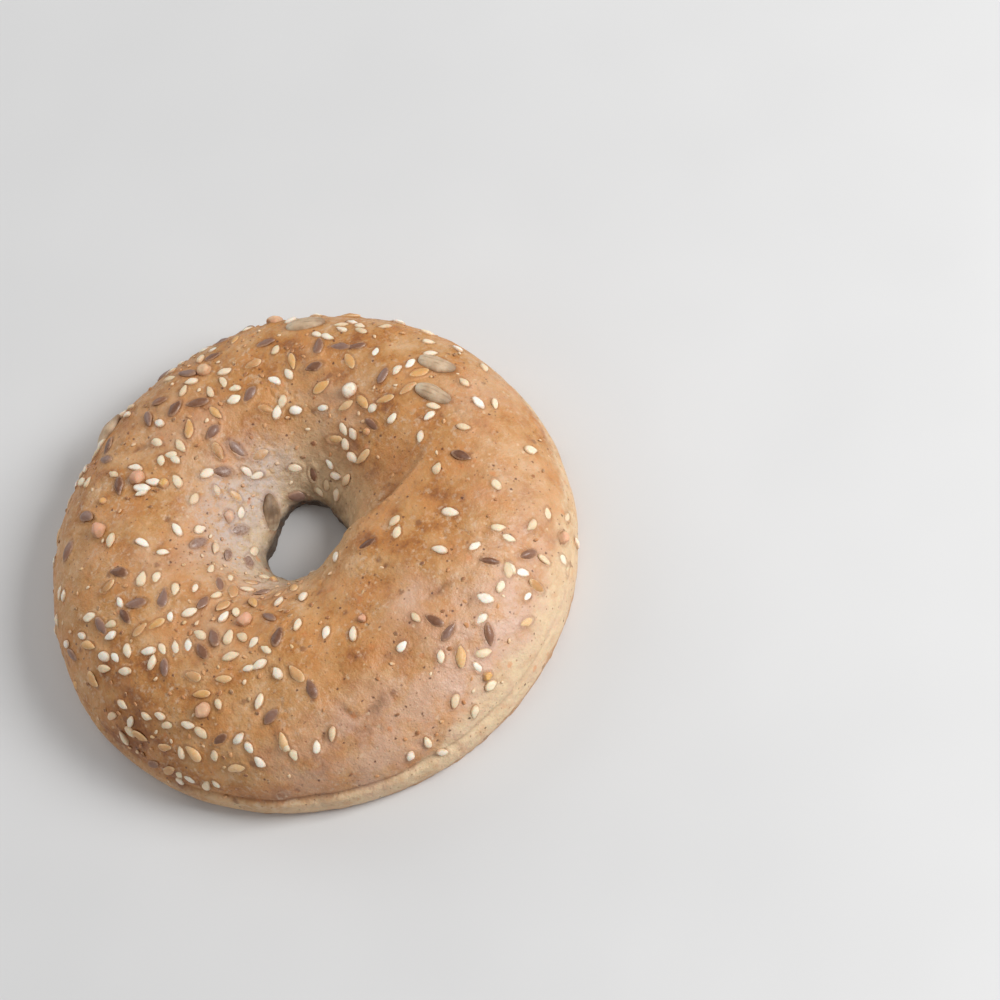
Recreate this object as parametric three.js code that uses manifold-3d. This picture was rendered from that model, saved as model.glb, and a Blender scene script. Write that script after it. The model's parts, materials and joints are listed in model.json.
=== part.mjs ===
// The top half of a sliced multi-seed bagel, lying on its cut face, as one solid.
// Units are millimetres and +Z is up. The origin is the middle of the outline, on the cut face.
// The crust is a ring whose section changes slowly round the hole, and the seeds are fused to it.
import * as THREE from "three";
import { ParametricGeometry } from "three/addons/geometries/ParametricGeometry.js";
import { mergeVertices } from "three/addons/utils/BufferGeometryUtils.js";
import Module from "manifold-3d";

const { degToRad, euclideanModulo, smoothstep } = THREE.MathUtils;
const TAU = 2 * Math.PI;
const QUARTER = Math.PI / 2;

// Driving dimensions
const OUTER_RADIUS = 56.1;
const HOLE_RADIUS = 9.35;
const HOLE_CENTRE = [1.25, 4.6];
const HEIGHT = 23;
const WAIST_Z = 3.6;
const THROAT_Z = 4.5;
const OUTER_TUCK = 1.1;
const HOLE_FLARE = 0.9;
const RING_SHIFT = [0.29, -0.08];

// Slow changes round the ring, each as times round, size and direction in degrees
const OUTLINE_WAVES = [[2, 0.2, 108], [3, 0.3, 65]];
const HOLE_WAVES = [[2, 0.2, 65], [3, 0.75, 70]];
const HEIGHT_WAVES = [[1, 1.5, 244], [2, 0.5, 150], [5, 0.25, 20]];

// The crest lies at this share of the way from the outline to the hole. Local changes are given as
// direction, breadth and size. An inner side of fullness 0 is a funnel, and of 1 a steep shoulder.
const CREST_SHARE = 0.48;
const CREST_SWELLS = [[40, 45, -0.06], [300, 50, 0.04]];
const OUTER_FULLNESS = 2.05;
const INNER_FULLNESS = 0.05;
const FULLNESS_SWELLS = [[305, 52, 1.0]];

// The pale lip above the cut, which stands out under the browned crust
const LIP_Z = 6.2;
const LIP_DEPTH = 0.15;
const LIP_SWELLS = [[245, 50, 0.7], [330, 40, 0.35], [200, 20, 0.2]];

// The fold beside the hole, where one end of the rolled dough lies on the other: a step along a bowed
// line, low on the +Y side
const FOLD_MIDDLE = [17, -7.4];
const FOLD_BEND = 0.02;
const FOLD_DEPTH = 3;
const FOLD_WIDTH = 2.2;
const FOLD_REACH = 12;
const FOLD_FADE = [17, 36];
const FOLD_START = [2, 9];

// Lumps in the crust as waves: length, direction and size. Dents: x, y, radius and depth.
const LUMPS = [[26, 20, 0.2], [19, 105, 0.17], [15, 160, 0.12]];
const DENTS = [
  [-6.6, -45, 5, 0.9],
  [-17, -44, 4, 0.6],
  [3, -39, 3.5, 0.5],
  [16, -32, 4.5, 0.7],
  [21, -37, 3.5, 0.6],
  [-28, 25, 5, 0.7],
  [-18, 36, 4, 0.5],
];

// Where the stretches of the section meet, from the outer cut edge at 0 to the cut edge in the hole at 1
const AT_WAIST = 0.06;
const AT_CREST = 0.5;
const AT_THROAT = 0.93;

// How finely the solid is divided
const STEPS_ROUND = 72;
const CRUST_STEPS = 22;
const CUT_FACE_STEPS = 2;
const SEED_SIDES = 6;
const SEED_RINGS = 3;

// Kinds of seed by size: length, width and thickness. Count is how many lie scattered on the crust, and
// fused how many of those are in the solid.
const SEED_KINDS = {
  kernel: { size: [8.4, 4.1, 2.7], count: 0, fused: 0 },
  groat: { size: [3.7, 3.3, 2.9], count: 0, fused: 0 },
  flax: { size: [4.6, 2.3, 1.2], count: 56, fused: 50 },
  golden: { size: [4.2, 2.1, 1.2], count: 46, fused: 34 },
  sesame: { size: [3.3, 1.95, 1.1], count: 215, fused: 58 },
};
const SEED_TAPER = 0.38;
const SEED_LIFT = 0.14;

// The largest seeds, laid one by one: kind, direction, share along the section, turn
const LAID_SEEDS = [
  ["kernel", 18, 0.36, -46],
  ["kernel", 10, 0.44, -56],
  ["kernel", 59, 0.33, -24],
  ["kernel", 110, 0.84, 78],
  ["kernel", 115, 0.23, 13],
  ["groat", 68, 0.24, 0],
  ["groat", 88, 0.4, 20],
  ["groat", 130, 0.48, 50],
  ["groat", 148, 0.41, 80],
  ["groat", 218, 0.36, 10],
  ["groat", 222, 0.59, 60],
  ["groat", 36, 0.56, 30],
  ["groat", 326, 0.16, 0],
];

// Where seeds fell thickly: x, y, radius, weight
const SEED_PATCHES = [
  [-36, -2, 9, 0.7],
  [-45, 4, 6, 0.6],
  [-48, -17, 7, 0.5],
  [-24, -12, 10, 1],
  [-11, -18, 8, 1],
  [-31, -25, 10, 0.7],
  [-40, -32, 8, 0.5],
  [-15, 5, 7, 0.9],
  [-11, 34, 8, 0.9],
  [-27, 41, 8, 0.5],
  [5, 45, 9, 0.9],
  [11, 33, 8, 0.5],
  [25, 34, 9, 0.6],
  [24, 16, 7, 0.8],
  [36, 15, 7, 0.9],
  [12, 17, 7, 0.5],
  [-4, 26, 8, 0.6],
  [37, -31, 7, 0.35],
  [26, -38, 6, 0.4],
  [18, -46, 7, 0.6],
];
const SEED_BACKGROUND = 0.07;
const SEED_GAP = 0.75;
const SEED_FOOT_Z = [4.5, 10];
const SEED_DRAW = 20417;

// A value with its waves round the ring
function wave(phi, mean, terms) {
  return terms.reduce((sum, [times, size, toward]) => sum + size * Math.cos(times * (phi - degToRad(toward))), mean);
}

// A value with its local changes round the ring
function swell(phi, mean, terms) {
  return terms.reduce((sum, [toward, breadth, size]) => {
    const off = euclideanModulo(phi - degToRad(toward) + Math.PI, TAU) - Math.PI;
    return sum + size * Math.exp(-((off / degToRad(breadth)) ** 2));
  }, mean);
}

// How far in from the outline, and how high, the section at phi is at share s. Width is from outline to hole.
function sectionPoint(phi, s, width) {
  const height = wave(phi, HEIGHT, HEIGHT_WAVES);
  const crest = swell(phi, CREST_SHARE, CREST_SWELLS);
  if (s < AT_WAIST) {
    const k = s / AT_WAIST;
    return [OUTER_TUCK * (1 - k) ** 2, WAIST_Z * k];
  }
  if (s < AT_CREST) {
    const turn = ((s - AT_WAIST) / (AT_CREST - AT_WAIST)) * QUARTER;
    const power = 2 / OUTER_FULLNESS;
    const z = WAIST_Z + (height - WAIST_Z) * Math.sin(turn) ** power;
    const round = width * crest * (1 - Math.cos(turn) ** power);
    const lip = swell(phi, LIP_DEPTH, LIP_SWELLS);
    return [round + lip * smoothstep(z, LIP_Z - 0.7, LIP_Z + 0.8) * Math.exp(-Math.max(z - LIP_Z, 0) / 7), z];
  }
  if (s < AT_THROAT) {
    const turn = ((s - AT_CREST) / (AT_THROAT - AT_CREST)) * QUARTER;
    const full = swell(phi, INNER_FULLNESS, FULLNESS_SWELLS);
    const fall = Math.max(1 - Math.sin(turn) ** (2 + full), 0) ** (0.9 - 0.5 * full);
    return [width * (crest + (1 - crest) * Math.sin(turn)), THROAT_Z + (height - THROAT_Z) * fall];
  }
  const k = (s - AT_THROAT) / (1 - AT_THROAT);
  return [width - HOLE_FLARE * k ** 2, THROAT_Z * (1 - k)];
}

// How much the lumps, dents and fold raise a point of the crust
function relief(x, y, z) {
  const firm = smoothstep(z, 3, 12);
  let rise = 0;
  for (const [length, toward, size] of LUMPS) {
    const along = x * Math.cos(degToRad(toward)) + y * Math.sin(degToRad(toward));
    rise += firm * size * Math.sin((TAU / length) * along);
  }
  for (const [atX, atY, radius, depth] of DENTS)
    rise -= firm * depth * Math.exp(-((x - atX) ** 2 + (y - atY) ** 2) / radius ** 2);
  const past = y - FOLD_MIDDLE[1] - FOLD_BEND * (x - FOLD_MIDDLE[0]) ** 2;
  const step = smoothstep(past, 0, FOLD_WIDTH) * Math.exp(-((Math.max(past, 0) / FOLD_REACH) ** 2));
  const run = smoothstep(x, ...FOLD_START) * (1 - smoothstep(x, ...FOLD_FADE));
  return rise - smoothstep(z, 3, 8) * FOLD_DEPTH * step * run;
}

// The point of the crust at angle phi and at share s of the way along the section
function crustPoint(phi, s) {
  const out = wave(phi, OUTER_RADIUS, OUTLINE_WAVES);
  const hole = wave(phi, HOLE_RADIUS, HOLE_WAVES);
  const dx = HOLE_CENTRE[0] + (hole - out) * Math.cos(phi);
  const dy = HOLE_CENTRE[1] + (hole - out) * Math.sin(phi);
  const width = Math.hypot(dx, dy);
  const [inward, z] = sectionPoint(phi, s, width);
  const x = out * Math.cos(phi) + (dx / width) * inward;
  const y = out * Math.sin(phi) + (dy / width) * inward;
  return new THREE.Vector3(x + RING_SHIFT[0], y + RING_SHIFT[1], z + relief(x, y, z));
}

// The outward normal of the crust there
function crustNormal(phi, s) {
  const step = 0.005;
  const alongRing = crustPoint(phi + step, s).sub(crustPoint(phi - step, s));
  const alongSection = crustPoint(phi, s + step).sub(crustPoint(phi, s - step));
  return alongRing.cross(alongSection).normalize();
}

// The closed ring: the crust from its outer cut edge over the crest and down the hole, then the cut face
function ringGeometry() {
  const steps = CRUST_STEPS + CUT_FACE_STEPS;
  const surface = (u, v, target) => {
    const phi = (Math.round(u * STEPS_ROUND) % STEPS_ROUND) * (TAU / STEPS_ROUND);
    const row = Math.round(v * steps) % steps;
    if (row <= CRUST_STEPS) target.copy(crustPoint(phi, row / CRUST_STEPS));
    else target.lerpVectors(crustPoint(phi, 1), crustPoint(phi, 0), (row - CRUST_STEPS) / CUT_FACE_STEPS);
    if (row === 0 || row >= CRUST_STEPS) target.z = 0;
  };
  return new ParametricGeometry(surface, STEPS_ROUND, steps);
}

// Repeatable random numbers from 0 to 1
function makeDraw(state) {
  return () => {
    state = (state * 1664525 + 1013904223) % 4294967296;
    return state / 4294967296;
  };
}

// How thickly seeds lie at a point of the crust, from 0 to 1
function seedWeight(point) {
  let weight = SEED_BACKGROUND;
  for (const [x, y, radius, share] of SEED_PATCHES)
    weight += share * Math.exp(-((point.x - x) ** 2 + (point.y - y) ** 2) / radius ** 2);
  return Math.min(weight, 1) * smoothstep(point.z, ...SEED_FOOT_Z);
}

// A seed lying at one place, with its size beside that of its kind
function makeSeed(kind, phi, s, turn, size, fused) {
  return { kind, point: crustPoint(phi, s), normal: crustNormal(phi, s), turn, size, fused };
}

// The seeds laid one by one, then each kind dropped at random where seeds fell and no other lies too near
function layOutSeeds() {
  const draw = makeDraw(SEED_DRAW);
  const seeds = LAID_SEEDS.map(([name, toward, s, turn]) =>
    makeSeed(SEED_KINDS[name], degToRad(toward), s, degToRad(turn), 1, true),
  );
  for (const kind of Object.values(SEED_KINDS)) {
    for (let placed = 0; placed < kind.count; ) {
      const phi = draw() * TAU;
      const s = AT_WAIST + draw() * (AT_THROAT - AT_WAIST);
      const chance = draw();
      const seed = makeSeed(kind, phi, s, draw() * TAU, 0.86 + 0.26 * draw(), placed < kind.fused);
      const ringShare = Math.hypot(seed.point.x, seed.point.y) / OUTER_RADIUS;
      const room = (other) => SEED_GAP + 0.27 * (kind.size[0] + other.kind.size[0]);
      if (chance > seedWeight(seed.point) * ringShare) continue;
      if (seeds.some((other) => other.point.distanceTo(seed.point) < room(other))) continue;
      seeds.push(seed);
      placed += 1;
    }
  }
  return seeds;
}

// A flat drop along X, rounded at one end and narrow at the other, with its thickness along Z
function seedGeometry([length, width, thickness]) {
  const geometry = new THREE.SphereGeometry(0.5, SEED_SIDES, SEED_RINGS).rotateZ(QUARTER);
  const position = geometry.getAttribute("position");
  for (let i = 0; i < position.count; i++) {
    const taper = 1 - SEED_TAPER * 2 * Math.max(position.getX(i), 0);
    position.setY(i, position.getY(i) * taper);
    position.setZ(i, position.getZ(i) * taper);
  }
  return geometry.scale(length, width, thickness);
}

// The seed laid flat on the crust, its middle just above it
function placedSeed({ kind, point, normal, turn, size }) {
  const up = new THREE.Vector3(0, 0, 1);
  const onCrust = new THREE.Quaternion().setFromUnitVectors(up, normal);
  const turned = onCrust.multiply(new THREE.Quaternion().setFromAxisAngle(up, turn));
  const middle = point.clone().addScaledVector(normal, SEED_LIFT * size * kind.size[2]);
  const place = new THREE.Matrix4().compose(middle, turned, new THREE.Vector3(size, size, size));
  return seedGeometry(kind.size).applyMatrix4(place);
}

const wasm = await Module();
wasm.setup();

function solidFrom(geometry) {
  const bare = geometry.clone().deleteAttribute("normal").deleteAttribute("uv");
  const merged = mergeVertices(bare, 1e-4);
  const vertProperties = merged.getAttribute("position").array;
  return new wasm.Manifold(new wasm.Mesh({ numProp: 3, vertProperties, triVerts: new Uint32Array(merged.index.array) }));
}

function geometryFrom(solid) {
  const { vertProperties, triVerts } = solid.getMesh();
  const geometry = new THREE.BufferGeometry();
  geometry.setAttribute("position", new THREE.BufferAttribute(vertProperties, 3));
  geometry.setIndex(new THREE.BufferAttribute(triVerts, 1));
  geometry.computeVertexNormals();
  return geometry;
}

let solid = solidFrom(ringGeometry());
for (const seed of layOutSeeds()) if (seed.fused) solid = solid.add(solidFrom(placedSeed(seed)));

const crust = new THREE.MeshStandardMaterial({ color: 0xc18d5c, roughness: 0.62, metalness: 0 });
const bagel = new THREE.Mesh(geometryFrom(solid), crust);
bagel.name = "bagel";

const part = new THREE.Group();
part.add(bagel);

export default part;
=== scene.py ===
import json
import math

import bpy
import numpy as np
from mathutils import Matrix, Vector

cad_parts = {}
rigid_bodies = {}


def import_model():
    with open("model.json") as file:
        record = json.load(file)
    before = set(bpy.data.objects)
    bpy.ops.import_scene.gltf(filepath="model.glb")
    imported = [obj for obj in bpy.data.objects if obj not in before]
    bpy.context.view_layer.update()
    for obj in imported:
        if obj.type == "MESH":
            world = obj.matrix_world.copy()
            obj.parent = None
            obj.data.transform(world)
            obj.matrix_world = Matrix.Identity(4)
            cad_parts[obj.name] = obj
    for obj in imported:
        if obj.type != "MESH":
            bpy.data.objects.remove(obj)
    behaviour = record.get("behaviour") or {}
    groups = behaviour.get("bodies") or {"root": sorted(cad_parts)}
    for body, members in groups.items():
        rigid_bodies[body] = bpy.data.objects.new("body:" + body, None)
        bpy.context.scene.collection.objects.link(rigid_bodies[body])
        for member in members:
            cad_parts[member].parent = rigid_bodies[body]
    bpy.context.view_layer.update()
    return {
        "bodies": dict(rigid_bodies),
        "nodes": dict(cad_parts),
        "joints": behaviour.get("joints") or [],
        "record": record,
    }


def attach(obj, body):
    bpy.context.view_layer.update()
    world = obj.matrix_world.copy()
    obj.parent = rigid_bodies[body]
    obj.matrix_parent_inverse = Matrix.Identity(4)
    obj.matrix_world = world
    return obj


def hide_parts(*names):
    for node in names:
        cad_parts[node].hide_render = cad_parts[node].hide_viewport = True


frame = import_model()

# The top half of a sliced multi-seed bagel, lying on its cut face. Shapes are worked out in
# millimetres, in the frame of the CAD solid, and become metres when their mesh is made.
MM = 0.001
TAU = 2 * math.pi
QUARTER = math.pi / 2

# Driving dimensions of the crust, the same as the CAD solid's
OUTER_RADIUS = 56.1
HOLE_RADIUS = 9.35
HOLE_CENTRE = (1.25, 4.6)
HEIGHT = 23
WAIST_Z = 3.6
THROAT_Z = 4.5
OUTER_TUCK = 1.1
HOLE_FLARE = 0.9
RING_SHIFT = (0.29, -0.08)

# Slow changes round the ring, each as times round, size and direction in degrees
OUTLINE_WAVES = ((2, 0.2, 108), (3, 0.3, 65))
HOLE_WAVES = ((2, 0.2, 65), (3, 0.75, 70))
HEIGHT_WAVES = ((1, 1.5, 244), (2, 0.5, 150), (5, 0.25, 20))

# Local changes round the ring, each as direction, breadth and size
CREST_SHARE = 0.48
CREST_SWELLS = ((40, 45, -0.06), (300, 50, 0.04))
OUTER_FULLNESS = 2.05
INNER_FULLNESS = 0.05
FULLNESS_SWELLS = ((305, 52, 1.0),)
LIP_Z = 6.2
LIP_DEPTH = 0.15
LIP_SWELLS = ((245, 50, 0.7), (330, 40, 0.35), (200, 20, 0.2))
LIP_STEP = (LIP_Z - 0.7, LIP_Z + 0.8)
LIP_FADE = 7

# The fold beside the hole, lumps (length, direction, size) and dents (x, y, radius, depth)
FOLD_MIDDLE = (17, -7.4)
FOLD_BEND = 0.02
FOLD_DEPTH = 3
FOLD_WIDTH = 2.2
FOLD_REACH = 12
FOLD_FADE = (17, 36)
FOLD_START = (2, 9)
FOLD_FROM_Z = (3, 8)
LUMPS_FROM_Z = (3, 12)
LUMPS = ((26, 20, 0.2), (19, 105, 0.17), (15, 160, 0.12))
DENTS = (
    (-6.6, -45, 5, 0.9),
    (-17, -44, 4, 0.6),
    (3, -39, 3.5, 0.5),
    (16, -32, 4.5, 0.7),
    (21, -37, 3.5, 0.6),
    (-28, 25, 5, 0.7),
    (-18, 36, 4, 0.5),
)

# Where the stretches of the section meet
AT_WAIST = 0.06
AT_CREST = 0.5
AT_THROAT = 0.93

# Kinds of seed: length, width and thickness, and how many lie scattered
SEED_KINDS = {
    "kernel": ((8.4, 4.1, 2.7), 0),
    "groat": ((3.7, 3.3, 2.9), 0),
    "flax": ((4.6, 2.3, 1.2), 56),
    "golden": ((4.2, 2.1, 1.2), 46),
    "sesame": ((3.3, 1.95, 1.1), 215),
}
SEED_TAPER = 0.38
SEED_LIFT = 0.14
SEED_SIZES = (0.86, 1.12)

# The largest seeds, laid one by one: kind, direction, share along the section, turn
LAID_SEEDS = (
    ("kernel", 18, 0.36, -46),
    ("kernel", 10, 0.44, -56),
    ("kernel", 59, 0.33, -24),
    ("kernel", 110, 0.84, 78),
    ("kernel", 115, 0.23, 13),
    ("groat", 68, 0.24, 0),
    ("groat", 88, 0.4, 20),
    ("groat", 130, 0.48, 50),
    ("groat", 148, 0.41, 80),
    ("groat", 218, 0.36, 10),
    ("groat", 222, 0.59, 60),
    ("groat", 36, 0.56, 30),
    ("groat", 326, 0.16, 0),
)

# Smaller broken grains, laid on top: kind, direction, share along the section, turn, size
BROKEN_SEEDS = (
    ("groat", 130, 0.55, 20, 0.74),
    ("groat", 138, 0.4, 0, 0.5),
    ("groat", 137, 0.72, 50, 0.85),
    ("groat", 289, 0.21, 0, 0.7),
    ("groat", 273, 0.51, 40, 0.6),
    ("groat", 212, 0.8, 10, 0.6),
    ("groat", 18, 0.62, 30, 0.55),
)
FRAGMENT_SIZE = (1.4, 0.95, 0.6)
FRAGMENTS = 240

# The laid groats' tones, from tan over pink and yellow to white
GROAT_TONES = (0.05, 0, 0.33, 0.33, 0.15, 0.3, 1, 0.2, 0.67, 0.6, 0.15, 0.67, 0.3, 0.62, 0.5)

# The least number of facets on a groat and on a fragment, and their depth
GROAT_CUTS = 9
FRAGMENT_CUTS = 4
FACET_DEPTH = 0.14

# Each kind's shape, as drop_shape takes it: sides, rings, taper, edge and end
SEED_SHAPES = {
    "sesame": (18, 12, SEED_TAPER, 0.8),
    "flax": (18, 12, SEED_TAPER, 1.25),
    "golden": (18, 12, SEED_TAPER, 1.25),
    "groat": (28, 18, 0.2),
    "kernel": (24, 18, 0.22, 0.9, 0.8),
    "fragment": (10, 7, 0.3),
}

# Each kind's coat: its tones, its rim's, its roughness, its grain's depth, and what else its shader
# takes; the rim is partly the seed's own edge, partly painted shade on the sesame and a painted highlight
# on the brown flax
COATS = {
    "sesame": (
        ((246, 238, 226), (240, 226, 206), (236, 216, 184), (222, 196, 160)),
        # The sesame's darker rim is partly painted shade
        (208, 170, 130),
        0.5,
        0.03,
        {"Subsurface_Weight": 0.2, "Subsurface_Scale": 0.001},
    ),
    "flax": (
        ((102, 64, 42), (124, 82, 56), (138, 106, 92), (136, 90, 60)),
        # The brown flax's light rim is partly a painted highlight
        (176, 136, 106),
        0.38,
        0.03,
        {"Coat_Weight": 0.1},
    ),
    "golden": (
        ((226, 188, 142), (216, 164, 98), (204, 156, 106), (190, 140, 88)),
        (224, 188, 144),
        0.4,
        0.03,
        {"Subsurface_Weight": 0.15, "Subsurface_Scale": 0.001},
    ),
    "groat": (
        ((222, 184, 144), (220, 164, 134), (218, 168, 92), (240, 230, 212)),
        (196, 150, 114),
        0.55,
        0.05,
        {"Subsurface_Weight": 0.15, "Subsurface_Scale": 0.001},
    ),
    "fragment": (
        ((236, 216, 184), (214, 160, 108), (186, 124, 76), (134, 90, 62), (226, 190, 140)),
        (206, 164, 120),
        0.5,
        0.03,
        {},
    ),
}

# The seeds' pieces: name, kind, first tones, least number of facets
SEED_PIECES = (
    ("sesame", "sesame", (), 0),
    ("brown_flax", "flax", (), 0),
    ("golden_flax", "golden", (), 0),
    ("groats", "groat", GROAT_TONES, GROAT_CUTS),
    ("sunflower_kernels", "kernel", (), 0),
    ("fragments", "fragment", (), FRAGMENT_CUTS),
)

# How much a seed may be smaller or larger than its kind, and the share of it on the large seeds
SHRINKAGE = (0.14, 0.2, 0.2)
GROWTH = (0.06, 0.06, 0.03)
UNEVENNESS = {"groat": 0.35, "kernel": 0.3}

# How far a seed may lie tilted to each side, be bent and be skewed, and its lumps' height and size
SEED_TILTS = (0.14, 0.1)
SEED_BEND = 0.3
SEED_SKEW = 0.2
SEED_LUMPS = (0.09, 0.55)

# Below this height, inside the hole, the kernels are darkened with painted shade
DARK_BELOW = 12

# Where seeds fell thickly: x, y, radius, weight
SEED_PATCHES = (
    (-36, -2, 9, 0.7),
    (-45, 4, 6, 0.6),
    (-48, -17, 7, 0.5),
    (-24, -12, 10, 1),
    (-11, -18, 8, 1),
    (-31, -25, 10, 0.7),
    (-40, -32, 8, 0.5),
    (-15, 5, 7, 0.9),
    (-11, 34, 8, 0.9),
    (-27, 41, 8, 0.5),
    (5, 45, 9, 0.9),
    (11, 33, 8, 0.5),
    (25, 34, 9, 0.6),
    (24, 16, 7, 0.8),
    (36, 15, 7, 0.9),
    (12, 17, 7, 0.5),
    (-4, 26, 8, 0.6),
    (37, -31, 7, 0.35),
    (26, -38, 6, 0.4),
    (18, -46, 7, 0.6),
)
SEED_BACKGROUND = 0.07
SEED_FOOT_Z = (4.5, 10)

# The room that two seeds keep, with a share of both their lengths, and the draws for their places
SEED_GAP = 0.75
SEED_ROOM = 0.27
SEED_DRAW = 20417
SEED_TRIES = 40000

# The dough round a seed that sank in: its rise, its breadth as a share of the seed's, its reach, and its
# reach as a share of the section's steps
SEAT_RISE = 0.24
SEAT_BREADTH = 0.32
SEAT_REACH = 9
SEAT_ROWS = 0.1

# Painted shade in the gap beside a seed, a dark brown ring on the crust: how dark, and how broad beside
# the seed
SEED_SHADE_DARKNESS = 0.44
SEED_SHADE_BREADTH = 0.17

# How one draw follows from another, and what whole numbers are multiplied with to mix them
DRAW_FACTOR = 1664525
DRAW_STEP = 1013904223
MIX_FACTORS = (374761393, 668265263, 1440662683, 1274126177)
WHOLE = 2**32
LOW_BITS = 0xFFFFFF

# Some sesame lies close against another: the first to do so, every how many, how far off, and the
# length along the section of the whole crust
PAIRS_FROM = 70
PAIRS_EVERY = 7
PAIR_GAP = 2.4
CRUST_LENGTH = 76

# Creases, pits and flecks of the crust, darker in colour, partly the flecks' own colour and partly
# painted shade in the creases and pits: x, y, length, breadth, turn in degrees, depth, darkness
MARKS = (
    (18.6, -32.4, 6.2, 1.3, 7, 0.5, 0.55),
    (-5.4, -45.4, 6.5, 2.2, 7, 0.7, 0.6),
    (-10.3, -43.1, 4.5, 1.5, -70, 0.5, 0.45),
    (-17.1, -44.4, 3, 0.9, 30, 0.45, 0.6),
    (11.4, -19.6, 1.2, 1.1, 0, 0.3, 1),
    (12, -21.7, 1.5, 1.2, 30, 0.3, 0.9),
    (-2.3, -16.8, 1.7, 0.9, 10, 0.1, 0.9),
    (16.8, -51.1, 1.6, 1.4, 0, 0.6, 1),
    (2.9, -38.8, 4, 2.2, 0, 0.3, 0.5),
    (22.1, -37.2, 2.6, 1.4, 60, 0.35, 0.5),
    (-18.5, 35.9, 5.5, 1.2, -25, 0.5, 0.6),
    (-4, 42.9, 2.2, 1.2, 20, 0.3, 0.7),
    (-24.5, 11.8, 4.5, 1.2, 40, 0.3, 0.5),
)

# Zones of the crust: x, y, radius, weight
BROWNER = (
    (-3, -31, 11, 0.2),
    (9, -37, 8, 0.22),
    (24, -17, 11, 0.16),
    (5, 44, 13, 0.1),
    (-44, -20, 13, 0.15),
    (-22, -33, 12, -0.1),
    (-8, -42, 7, 0.15),
    (12, -22, 9, 0.14),
    (34, 34, 12, 0.1),
    (16, 36, 9, 0.22),
    (30, 4, 9, 0.22),
    (19, 9, 6, 0.2),
    (-48, -4, 9, -0.08),
    (47, 3, 8, -0.16),
    (-49, -13, 9, 0.26),
    (-27, 34, 12, 0.1),
    (34, -8, 11, 0.16),
)
# Paler pink zones: mostly paler crust, and painted sheen on the right, round (47, 4) and (44, -16)
PINKER = (
    (24, -47, 12, 0.9),
    (37, -37, 11, 0.7),
    (8, -52, 10, 0.8),
    (-10, -50, 9, 0.7),
    (-25, -46, 8, 0.45),
    (44, -16, 10, 0.3),
    (47, 4, 8, 0.4),
    (-6, 31, 8, 0.4),
    (22, 20, 7, 0.4),
    (-27, 8, 6, 0.35),
    (-26, -12, 8, 0.28),
    (10, -33, 6, 0.35),
    (-16, 6, 7, 0.3),
    (14, -30, 4, 0.5),
)

# Round the hole, by direction, breadth and weight: flour on the left, and the pale lip's swells
FLOUR_SWELLS = ((150, 50, 1.15), (95, 30, 0.95), (225, 25, 0.4))
FLOUR_MIDDLE = 15
FLOUR_REACH = 6
LIP_PALENESS = 0.5
LIP_PALE_SWELLS = ((290, 60, 0.5), (178, 40, -0.4))
LIP_TOP = 6.5
LIP_TOP_SWELLS = ((289, 15, 6), (318, 24, 5), (350, 20, 1.5))
TOASTED_SWELLS = ((300, 35, 1.4),)
RIDGE_SWELLS = ((285, 55, 0.9),)
# The band of painted shade over the lip, mostly at the lower left
SHADE_BAND_SWELLS = ((225, 40, 0.35), (330, 30, 0.1))
GROOVE_SWELLS = ((240, 40, 0.9), (295, 16, 0.2))
THROAT_SWELLS = ((135, 28, 0.6), (15, 22, 0.5))
LEDGE_FILL_SWELLS = ((322, 26, 0.55),)
LEDGE_FADE = 5

# Layers of noise in the crust's relief and tones, each as strength, size and salt
BLISTERS = ((0.28, 8, 1), (0.2, 4, 2), (0.08, 1.8, 3))
WRINKLES = ((1, 4.5, 6), (0.4, 1.7, 8))
TEARS = ((0.28, 2.6, 4), (0.16, 1.2, 5))
BROWN_PATCHES = ((0.13, 15, 22), (0.1, 6, 23))
EDGE_WAVER = ((0.7, 6, 21), (0.5, 2.2, 24))
FLOUR_NOISE = ((0.5, 4, 31),)
MARK_NOISE = ((0.6, 1.3, 63),)
MARK_GAPS = ((0.7, 0.8, 64),)
ZONE_SHIFT_X = ((3, 7, 61),)
ZONE_SHIFT_Y = ((3, 7, 62),)

# The crust's usual brownness, the relief of its creases and flour, and the groove over the lip
BROWN = 0.53
CREASE_DEPTH = 0.25
CREASE_FLANKS = (0.85, 1)
FLOUR_GRAIN = 0.2
GROOVE_DEPTH = 0.4
GROOVE_RISE = 0.8
GROOVE_BREADTH = 0.5
LEDGE_FLANK = 0.9

# Between which heights the torn edges end and the fine relief begins
TORN_Z = (0, 2.2)
THROAT_TORN_Z = (1, 8)
RELIEF_FROM_Z = (0.2, 4)

# How far from the hole's middle the outer side of the crust begins, and where the throat ends
OUTSIDE_FROM = 2.5 * HOLE_RADIUS
THROAT_REACH = 2 * HOLE_RADIUS

# Between which heights, distances from the hole's middle and slopes the zones of the crust fade out
TORN_FROM_HOLE = (14, 20)
WALL_Z = (7, 20)
WALL_FROM_HOLE = (19, 26)
RIDGE_SLOPE = (0.56, 0.92)
RIDGE_FROM_HOLE = (25, 32)
TOASTED_Z = (0.3, 1.5)
# The hole's near-black bottom, painted shade, fades out between these heights
HOLE_SHADE_Z = (2.5, 7.8)

# Round the crust's outside, how far over the lip: a band of painted shade that browns the crust, and a
# dark line of painted shade in the groove
SHADE_BAND_RISE = 3
SHADE_BAND_BREADTH = 3
GROOVE_SHADE_RISE = 0.9
GROOVE_SHADE_BREADTH = 0.4

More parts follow.
